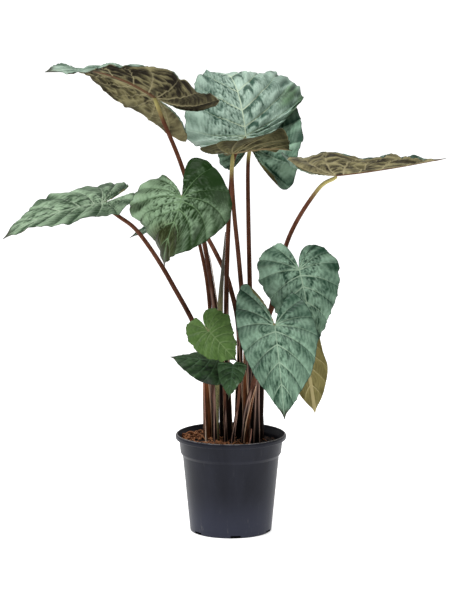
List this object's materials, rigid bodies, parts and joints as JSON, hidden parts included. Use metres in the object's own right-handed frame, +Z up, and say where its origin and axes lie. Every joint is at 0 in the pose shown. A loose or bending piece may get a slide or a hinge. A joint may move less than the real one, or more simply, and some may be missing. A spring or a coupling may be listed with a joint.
{
  "type": "potted alocasia plant",
  "caption": "Tall arrow-leaved alocasia: large quilted leaves on slim stalks, with dry sheaths at the foot, in a soil-filled round nursery pot that stands on its base.",
  "frame": {"origin": "middle of the pot's base, where it stands on the ground", "axes": "+Z up; +X to the right and -Y towards the viewer, as the plant is seen in the picture"},
  "size_m": [0.9264, 0.5391, 1.015],
  "materials": {
    "pot": "dark slate, faint sheen",
    "soil": "moist, rough, with bark fibre",
    "leaf": "blue-green, waxy sheen",
    "leaf_under": "olive brown, dull",
    "leaf_young": "bright green, waxy",
    "leaf_dark": "deep green, waxy",
    "stalk": "red-brown, smooth",
    "spear": "green-yellow, speckled",
    "sheath": "dry, papery",
    "root": "pale, dull"
  },
  "bodies": {
    "root": {"pot": "pot", "soil": "soil", "blade_upper_left": "leaf_under", "blade_top": "leaf", "blade_top_under": "leaf_under", "blade_top_back": "leaf", "blade_right": "leaf_under", "blade_left": "leaf", "blade_centre_left": "leaf", "blade_centre_hidden": "leaf", "blade_front_right": "leaf", "blade_front": "leaf", "blade_back_right": "leaf_under", "blade_young_light": "leaf_young", "blade_young_left": "leaf_dark", "blade_young_centre": "leaf_dark", "stalk_upper_left": "stalk", "stalk_top": "stalk", "stalk_top_under": "stalk", "stalk_top_back": "stalk", "stalk_right": "stalk", "stalk_left": "stalk", "stalk_centre_left": "stalk", "stalk_centre_hidden": "stalk", "stalk_front_right": "stalk", "stalk_front": "stalk", "stalk_back_right": "stalk", "stalk_young_light": "stalk", "stalk_young_left": "stalk", "stalk_young_centre": "stalk", "sheath_upper_left": "sheath", "sheath_left": "sheath", "sheath_top": "sheath", "sheath_top_under": "sheath", "sheath_right": "sheath", "sheath_front": "sheath", "sheath_centre_left": "sheath", "spear_rolled": "spear", "root_left": "root", "root_front": "root"}
  },
  "joints": []
}
